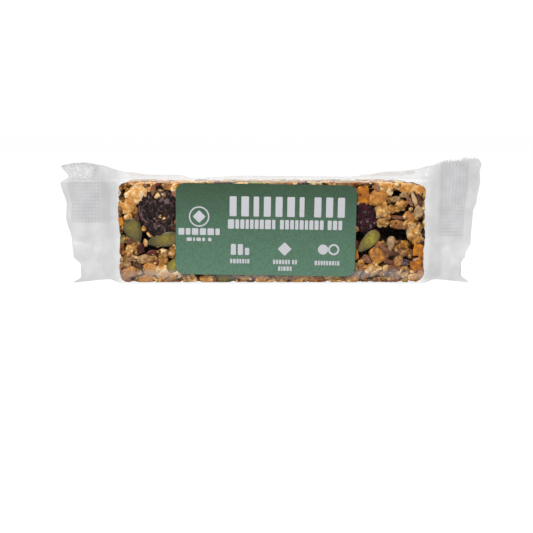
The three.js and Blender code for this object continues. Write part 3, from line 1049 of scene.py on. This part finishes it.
# How far round its middle a front grain keeps others off, keeps crumbs off, and is bedded in the
# core, as shares of its length and width together. Only large grains keep crumbs off.
GRAIN_REACH, BERRY_REACH, CRUMB_REACH, BED_REACH = 0.26, 0.34, 0.24, 0.22
LARGE_GRAIN = 11


def front_point(across, up, sink=0.0):
    """A point on the front, across and up as the pack stands, a depth under the face."""
    return side_point("front", across, up - BAR_MIDDLE[2], sink)


def lay_front(kinds):
    """Places the front's own grains, and returns where they lie and how wide they are."""
    taken = []
    for grain in FRONT_GRAINS:
        centre = front_point(grain.across, grain.up, grain.sink)
        size = np.array([grain.length, grain.width, grain.thickness])
        spin = math.radians(grain.spin)
        kinds[grain.kind].add(grain.shape, centre, "front", size, spin=spin, tone=grain.tone)
        reach = BERRY_REACH if grain.kind == "berry" else GRAIN_REACH
        taken.append((*centre, (grain.length + grain.width) * reach))
    for across, up, radius in FRONT_POCKETS:
        taken.append((*front_point(across, up, 1), radius))
    return taken


def random_place(rng):
    """A side, chosen by its area, and a place on it that may reach a little over its edge."""
    names = list(SIDES)
    areas = [BAR_HALF[SIDES[n][2]] * BAR_HALF[SIDES[n][3]] for n in names]
    side = names[rng.choice(len(names), p=np.array(areas) / sum(areas))]
    first, second = (rng.uniform(-1, 1) * (BAR_HALF[axis] - 0.3) for axis in SIDES[side][2:])
    return side, first, second


def strew(kinds, taken, rng):
    """Throws grains at all six sides, largest first. A grain that lands too near another is left out."""
    for kind, most, lengths, width, thickness, nearness, tones in STREWN_GRAINS:
        laid = 0
        for _ in range(most * TRIES):
            side, first, second = random_place(rng)
            length = rng.uniform(*lengths)
            size = length * np.array([1, width * rng.uniform(0.85, 1.15), thickness])
            radius = (size[0] + size[1]) / 4
            # The middle lies 0.18 to 0.42 of the thickness under the face.
            sink = rng.uniform(0.3, 0.7) * size[2] * 0.6
            centre = side_point(side, first, second, sink)
            spots = np.array(taken)
            gaps = np.linalg.norm(spots[:, :3] - centre, axis=1)
            if (gaps < nearness * (spots[:, 3] + radius)).any():
                continue
            taken.append((*centre, radius))
            kinds[kind].add(rng.integers(99), centre, side, size, spin=rng.uniform(0, 2 * math.pi),
                            tilt=rng.uniform(0, 0.3), tilt_way=rng.uniform(0, 2 * math.pi),
                            tone=rng.uniform(*tones))
            laid += 1
            if laid == most:
                break


def strew_crumbs(crumbs, rng):
    """Throws crumbs at all six sides, but not into the front's pockets or onto its large grains."""
    clear = [(across, up, radius + 0.4) for across, up, radius in FRONT_POCKETS]
    clear += [(g.across, g.up, CRUMB_REACH * (g.length + g.width)) for g in FRONT_GRAINS
              if g.length + g.width > LARGE_GRAIN]
    spots = np.array([front_point(across, up) for across, up, _ in clear])
    radii = np.array([radius for _, _, radius in clear])
    for _ in range(CRUMBS):
        side, first, second = random_place(rng)
        length = rng.uniform(0.9, 2.2)
        centre = side_point(side, first, second, rng.uniform(0.1, 1.3))
        if (np.linalg.norm(spots - centre, axis=1) < radii).any():
            continue
        crumbs.add(rng.integers(99), centre, side, length * CRUMB_SHAPE,
                   spin=rng.uniform(0, 6.28), tilt=rng.uniform(0, 1.2), tone=rng.uniform(0, 1))


CORE_DEPTH = 1.0          # the core's own surface, under the bar's
CORE_MESH = 0.55          # how fine its mesh is
CORE_CRUMBS = 3300
CORE_CRUMB = 2.3          # width of those crumbs
POCKET_DEPTH = 3.0


def core_crumbs(points, rng):
    """Crumbs at random places of the core: how far out they lift each point, their tone there, and
    how far the point is from the furrows between them, from 0 in a furrow to 1."""
    seeds = np.array([side_point(*random_place(rng), rng.uniform(0, 2)) for _ in range(CORE_CRUMBS)])
    level = rng.uniform(-1.3, 0.5, len(seeds))
    tone = rng.uniform(0, 1, len(seeds))
    tree = kdtree.KDTree(len(seeds))
    for number, seed in enumerate(seeds):
        tree.insert(seed, number)
    tree.balance()
    found = [tree.find_n(p, 2) for p in points]
    near, next_near = (np.array([f[rank][2] for f in found]) for rank in (0, 1))
    cell = np.array([f[0][1] for f in found])
    ridge = smoothstep(next_near - near, 0, 1.1)
    lift = ridge * 1.3 - 0.5 * (near / CORE_CRUMB) ** 2 + level[cell] - 0.6
    return lift, tone[cell], ridge


def sink_pockets(points, lift):
    """Lowers the core in the front's pockets and under its berries and kernels."""
    beds = [(g.across, g.up, BED_REACH * (g.length + g.width)) for g in FRONT_GRAINS
            if g.kind in ("berry", "kernel")]
    for across, up, radius in FRONT_POCKETS + beds:
        distance = np.linalg.norm(points - front_point(across, up), axis=1)
        lift -= POCKET_DEPTH * np.exp(-(distance / (1.3 * radius)) ** 2)


def make_core(rng):
    """The pressed mass between the grains: crumbs with sticky furrows that the material darkens with
    painted shade, and the deep pockets.
    """
    deselect()
    bpy.ops.mesh.primitive_cube_add(size=2, location=BAR_MIDDLE * MM)
    core = bpy.context.object
    core.name = core.data.name = "pressed_core"
    core.scale = (BAR_HALF - CORE_DEPTH) * MM
    bpy.ops.object.transform_apply(location=True, rotation=True, scale=True)
    finish_with(core, "REMESH", mode="VOXEL", voxel_size=CORE_MESH * MM)

    points = np.empty(len(core.data.vertices) * 3, np.float32)
    core.data.vertices.foreach_get("co", points)
    points = points.reshape(-1, 3) / MM
    lift, tone, ridge = core_crumbs(points, rng)
    sink_pockets(points, lift)
    inner = BAR_HALF - 3
    local = points - BAR_MIDDLE
    out = local - np.clip(local, -inner, inner)
    out /= np.maximum(np.linalg.norm(out, axis=1, keepdims=True), TINY)
    points, depth, cut = press(points + out * lift[:, None])
    core.data.vertices.foreach_set("co", (points * MM).astype(np.float32).ravel())
    keep_marks(core.data, tone=tone, depth=depth, cut=cut, hollow=1 - ridge)
    smooth(core.data)
    core.data.update()
    return core


# ---- Materials of the foods ----

# What a food's skin is made of. Widths and heights are in millimetres, and the rest are shares.
FOOD_SKIN = {
    "patch": 2.2, "spread": 0.35,      # its patches: how wide, and how far they move the tone
    "grit": 0.5, "fleck": 0.12,        # its finest grain: how wide, and how far it moves the tone
    "bump": 0.1,                       # how high that grain stands
    "crumb": 0.0, "motley": 0.28,      # its crumbs, if any: how wide, and how far their tones differ
    "crease": 0.45,                    # how dark the creases between its crumbs are, with syrup and painted shade
    "crown": 0.12, "hollow": 0.6,      # how light its ridges are, a painted highlight, and how dark its deepest hollows, with syrup and painted shade
    "flour": 0.0,                      # how pale its floury patches are
    "roughness": 0.5, "shine": 0.12, "coat": 0.16,
}
# The syrup colours carry painted shade too: the second darkens hollows and creases, the third is near black
# where a grain lies deep.
FLOUR, SYRUP_AND_SHADE, DEEP_SYRUP_AND_SHADE = "#a68c76", "#1f0e04", "#0c0602"
FLOUR_PATCH = 4.0
LIMITS = "From Min", "From Max", "To Min", "To Max"     # a range, and what it is taken to


def food_crumbs(tree, place, fine, skin):
    """A food's crumbs, whose outlines its grain bends: a random value for each crumb, and how far
    inside its edge a point lies."""
    wander = (0.35 * skin["crumb"] * MM,) * 3
    bent = add_node(tree, "ShaderNodeVectorMath", {0: fine.outputs["Color"], 1: wander, 2: place},
                    operation="MULTIPLY_ADD")
    inputs = {"Vector": bent, "Scale": 1 / (skin["crumb"] * MM)}
    cells = add_node(tree, "ShaderNodeTexVoronoi", inputs)
    edges = add_node(tree, "ShaderNodeTexVoronoi", inputs, feature="DISTANCE_TO_EDGE")
    return cells.outputs["Color"], edges.outputs["Distance"]


def shift_tone(tree, tone, shifts):
    """A tone moved by values, each taken from its own range to how far it moves the tone."""
    for value, limits in shifts:
        shift = add_node(tree, "ShaderNodeMapRange", {"Value": value, **dict(zip(LIMITS, limits))})
        tone = add_node(tree, "ShaderNodeMath", {0: tone, 1: shift}, operation="ADD")
    return tone


def lay_veils(tree, colour, veils):
    """A colour with others laid over it, each by a value taken from its own range to a share."""
    for value, limits, veil in veils:
        share = add_node(tree, "ShaderNodeMapRange", {"Value": value, **dict(zip(LIMITS, limits))})
        inputs = {0: share, 6: colour, 7: srgb(veil)}
        colour = add_node(tree, "ShaderNodeMix", inputs, data_type="RGBA").outputs[2]
    return colour


def food_material(name, stops, inside, **skin):
    """A food's colour from its grain's tone, which its patches, ridges, grain and crumbs move; the ridges
    get a painted highlight. Flour pales it in places. It is dark with syrup and painted shade in its
    hollows and creases, near black with painted shade where it lies deep, and shows its inside where
    the knife went through. It shines only near the surface."""
    skin = {**FOOD_SKIN, **skin}
    material, tree = new_material(name)
    place = add_node(tree, "ShaderNodeTexCoord").outputs["Object"]
    tone, depth, cut, hollow = (
        add_node(tree, "ShaderNodeAttribute", attribute_name=key).outputs["Fac"]
        for key in ("tone", "depth", "cut", "hollow")
    )
    patches, fine, broad = (
        add_node(tree, "ShaderNodeTexNoise", {
            "Vector": place, "Scale": 1 / (size * MM), "Detail": detail, "Roughness": roughness,
        })
        for size, detail, roughness in (
            (skin["patch"], 5.0, 0.65), (skin["grit"], 3.0, 0.5), (FLOUR_PATCH, 2.0, 0.5),
        )
    )
    relief = add_node(tree, "ShaderNodeBump", {"Distance": skin["bump"] * MM, "Height": fine})

    # What moves the tone, and what is laid over the colour, with the limits of each value's range
    # and what they stand for.
    shifts = [
        (patches, (0.3, 0.7, -skin["spread"], skin["spread"])),
        # Painted highlight on the ridges, and painted shade towards the hollows.
        (hollow, (0.05, 0.5, skin["crown"], -skin["crown"])),
        (fine, (0.3, 0.7, -skin["fleck"], skin["fleck"])),
    ]
    veils = [
        (broad, (0.5, 0.65, 0, skin["flour"]), FLOUR),
        # Syrup and painted shade in the deepest hollows.
        (hollow, (0.7, 1, 0, skin["hollow"]), SYRUP_AND_SHADE),
        (cut, (0.15, 0.8, 0, 0.7), inside),
        # Painted shade, near black, where a grain lies deep, with the syrup's own darkness.
        (depth, (0.4, 2.4, 0, 0.96), DEEP_SYRUP_AND_SHADE),
    ]
    if skin["crumb"]:
        cells, edges = food_crumbs(tree, place, fine, skin)
        shifts.append((cells, (0, 1, -skin["motley"], skin["motley"])))
        # Syrup and painted shade in the creases between crumbs.
        veils.insert(2, (edges, (0, 0.2, skin["crease"], 0), SYRUP_AND_SHADE))
        relief = add_node(tree, "ShaderNodeBump", {
            "Distance": 0.25 * skin["crumb"] * MM, "Height": edges, "Normal": relief,
        })

    ramp = add_node(tree, "ShaderNodeValToRGB", {"Fac": shift_tone(tree, tone, shifts)})
    set_stops(ramp, stops)
    colour = lay_veils(tree, ramp.outputs["Color"], veils)
    shine, coat = (
        add_node(tree, "ShaderNodeMapRange", {
            "Value": depth, "From Min": 0.2, "From Max": 1.4, "To Min": skin[key], "To Max": 0,
        })
        for key in ("shine", "coat")
    )
    shader = add_node(tree, "ShaderNodeBsdfPrincipled", {
        "Base Color": colour, "Normal": relief, "Roughness": skin["roughness"],
        "Specular IOR Level": shine, "Coat Weight": coat, "Coat Roughness": 0.12,
    })
    add_node(tree, "ShaderNodeOutputMaterial", {"Surface": shader})
    return material


def food_materials():
    """Each food by its common name, what was done to it and what that gives the eye."""
    return {
        # Rolled oats toasted in syrup: golden crumbs with pale and burnt patches, sticky and dark with
        # painted shade in the creases.
        "cluster": food_material(
            "oat_clusters_toasted_in_syrup",
            [(0, "#3a1c06"), (0.3, "#7d4c1a"), (0.55, "#ae7730"), (0.8, "#c6924c"), (1, "#d9ba88")],
            "#c3a676", flour=0.32, crumb=2.4, motley=0.2, crease=0.2, hollow=0.45, patch=1.5,
            roughness=0.45),
        # Nuts and puffed grain in syrup: smoother, rounder and brighter than the clusters.
        "pebble": food_material(
            "nuts_and_puffed_grain_in_syrup",
            [(0, "#4c2608"), (0.35, "#8e5a26"), (0.55, "#b47328"), (0.8, "#cb9248"), (1, "#dcc193")],
            "#cab385", flour=0.24, crumb=3.0, motley=0.12, crease=0.16, patch=1.8, spread=0.3, hollow=0.4,
            grit=0.6, roughness=0.38, shine=0.2),
        # Rolled oats: dull straw-coloured scales.
        "flake": food_material(
            "rolled_oats",
            [(0, "#583613"), (0.4, "#966c3a"), (0.7, "#b5935c"), (1, "#d4c4a0")],
            "#c7b48b", flour=0.4, patch=1.6, grit=0.4, roughness=0.65),
        # Raw pumpkin kernels: satin olive skin, pale green inside.
        "kernel": food_material(
            "pumpkin_kernels_raw",
            [(0, "#1f1d0e"), (0.35, "#464125"), (0.6, "#665a2b"), (0.8, "#7a6f24"), (1, "#a29832")],
            "#9c9a58", patch=2.4, spread=0.16, crown=0.0, grit=0.5, bump=0.08, roughness=0.35, shine=0.2),
        # Raw sunflower kernels: grey-beige satin.
        "sunflower": food_material(
            "sunflower_kernels_raw",
            [(0, "#54402c"), (0.5, "#87694a"), (1, "#bb9c74")],
            "#c6bb9e", patch=1.4, grit=0.4, bump=0.05, roughness=0.45),
        # Brown flax seeds: thin glossy hulls.
        "flax": food_material(
            "flax_seeds_brown",
            [(0, "#38200f"), (0.5, "#6b3f27"), (1, "#986f54")],
            "#ac8d6a", patch=1.0, grit=0.4, bump=0.03, roughness=0.25, shine=0.25),
        # Dried berries: leathery skin with a painted highlight on the ridges, from blue-black at low
        # tones to wine red at high ones.
        "berry": food_material(
            "berries_dried_whole",
            [(0, "#15100f"), (0.22, "#382726"), (0.5, "#80686a"), (0.62, "#241215"), (0.8, "#1a0a0d"),
             (1, "#4a1626")],
            "#3e1523", patch=2.4, spread=0.14, grit=0.7, fleck=0.04, bump=0.12, crown=0.2, hollow=0.4,
            roughness=0.3, shine=0.06, coat=0.06),
        # Dried cranberry, chopped: dark red and sticky.
        "fruit": food_material(
            "cranberry_dried_chopped",
            [(0, "#240a09"), (0.5, "#4c1a0f"), (1, "#79371f")],
            "#6a2416", patch=1.2, grit=0.4, bump=0.1, roughness=0.35, shine=0.2),
        # Dates and apricots, chopped: brown to amber, with a wet shine.
        "chunk": food_material(
            "dates_and_apricots_chopped",
            [(0, "#241107"), (0.35, "#552d0b"), (0.65, "#985712"), (1, "#c27812")],
            "#844913", patch=2.0, grit=0.5, bump=0.12, roughness=0.32, shine=0.2),
        # Broken bits of everything above.
        "crumb": food_material(
            "crumbs_of_oat_and_seed",
            [(0, "#2a1406"), (0.3, "#6a441c"), (0.6, "#a0763c"), (1, "#cdb283")],
            "#c2ab80", patch=1.0, grit=0.3, roughness=0.6),
        # Oat meal and syrup pressed together: brown crumb, wet in the furrows and black there with painted
        # shade.
        "core": food_material(
            "oat_meal_pressed_with_syrup",
            [(0, "#1c0e04"), (0.3, "#4c2d10"), (0.6, "#84592a"), (0.85, "#a8783c"), (1, "#c09a5e")],
            "#b08b54", crumb=1.5, roughness=0.5, shine=0.1),
    }


GRAIN_PIECES = {
    "cluster": ("oat_clusters", "pressed_mix"), "bit": ("oat_bits", "pressed_mix"),
    "pebble": ("nut_pieces", "pressed_mix"), "puff": ("puffed_grain", "pressed_mix"),
    "flake": ("oat_flakes", "pressed_mix"), "kernel": ("pumpkin_kernels", "seeds"),
    "sunflower": ("sunflower_kernels", "seeds"), "flax": ("flax_seeds", "seeds"),
    "berry": ("dried_berries", "dried_fruit"), "fruit": ("red_fruit_bits", "dried_fruit"),
    "chunk": ("date_and_apricot_bits", "dried_fruit"), "crumb": ("crumbs", "pressed_mix"),
}


KERNEL_BENDS = 0.0, 0.5, -0.4, 0.25, -0.2


def model_grains():
    """The shapes of each kind of grain, modelled once, with the relief, its width and its depth."""
    return {
        "cluster": Strewn([model_cluster(n, 4) for n in range(8)], crumbly, 2.8, 0.6),
        "pebble": Strewn([model_pebble(n, 4) for n in range(5)], dented, 3.0, 0.5),
        "bit": Strewn([model_cluster(n, 2) for n in range(8, 16)], crumbly, 1.9, 0.45),
        "puff": Strewn([model_pebble(n, 2) for n in range(5, 10)], dented, 1.5, 0.35),
        "flake": Strewn([model_flake(n) for n in range(3)], wrinkled, 1.6, 0.25),
        # The kernels get painted shade along their rounding, lighter on the crest and darker at the rim.
        "kernel": Strewn([model_seed(0.75, bend) for bend in KERNEL_BENDS], dented, 2.4, 0.3, dome_shade=0.5),
        "sunflower": Strewn([model_seed(0.7, 0.2, 12, 8)], dented, 2.0, 0.2, dome_shade=0.4),
        "flax": Strewn([model_seed(0.6, 0.0, 10, 6)], dented, 2.0, 0.1),
        "berry": Strewn([model_berry(n, 5) for n in range(3)], wrinkled, 1.9, 0.42),
        "fruit": Strewn([model_cluster(n, 3) for n in range(16, 20)], wrinkled, 1.4, 0.4),
        "chunk": Strewn([model_chunk(n) for n in range(4)], wrinkled, 2.4, 0.4),
        "crumb": Strewn([model_pebble(n, 1) for n in range(10, 14)], dented, 1.0, 0.1),
    }


def make_contents():
    rng = np.random.default_rng(11)
    kinds = model_grains()
    taken = lay_front(kinds)
    strew(kinds, taken, rng)
    strew_crumbs(kinds["crumb"], rng)
    materials = food_materials()
    materials["bit"] = materials["cluster"]
    materials["puff"] = materials["pebble"]
    for kind, (name, slot) in GRAIN_PIECES.items():
        set_up_piece(kinds[kind].make(name), materials[kind])
    set_up_piece(make_core(rng), materials["core"])


# ---- The piece list ----
add_camera()
add_studio()
make_contents()
set_up_piece(make_label(), label_paper_material(), "label")
set_up_piece(make_print(), label_ink_material())
set_up_piece(make_film(), film_material(), "sealed_bag")
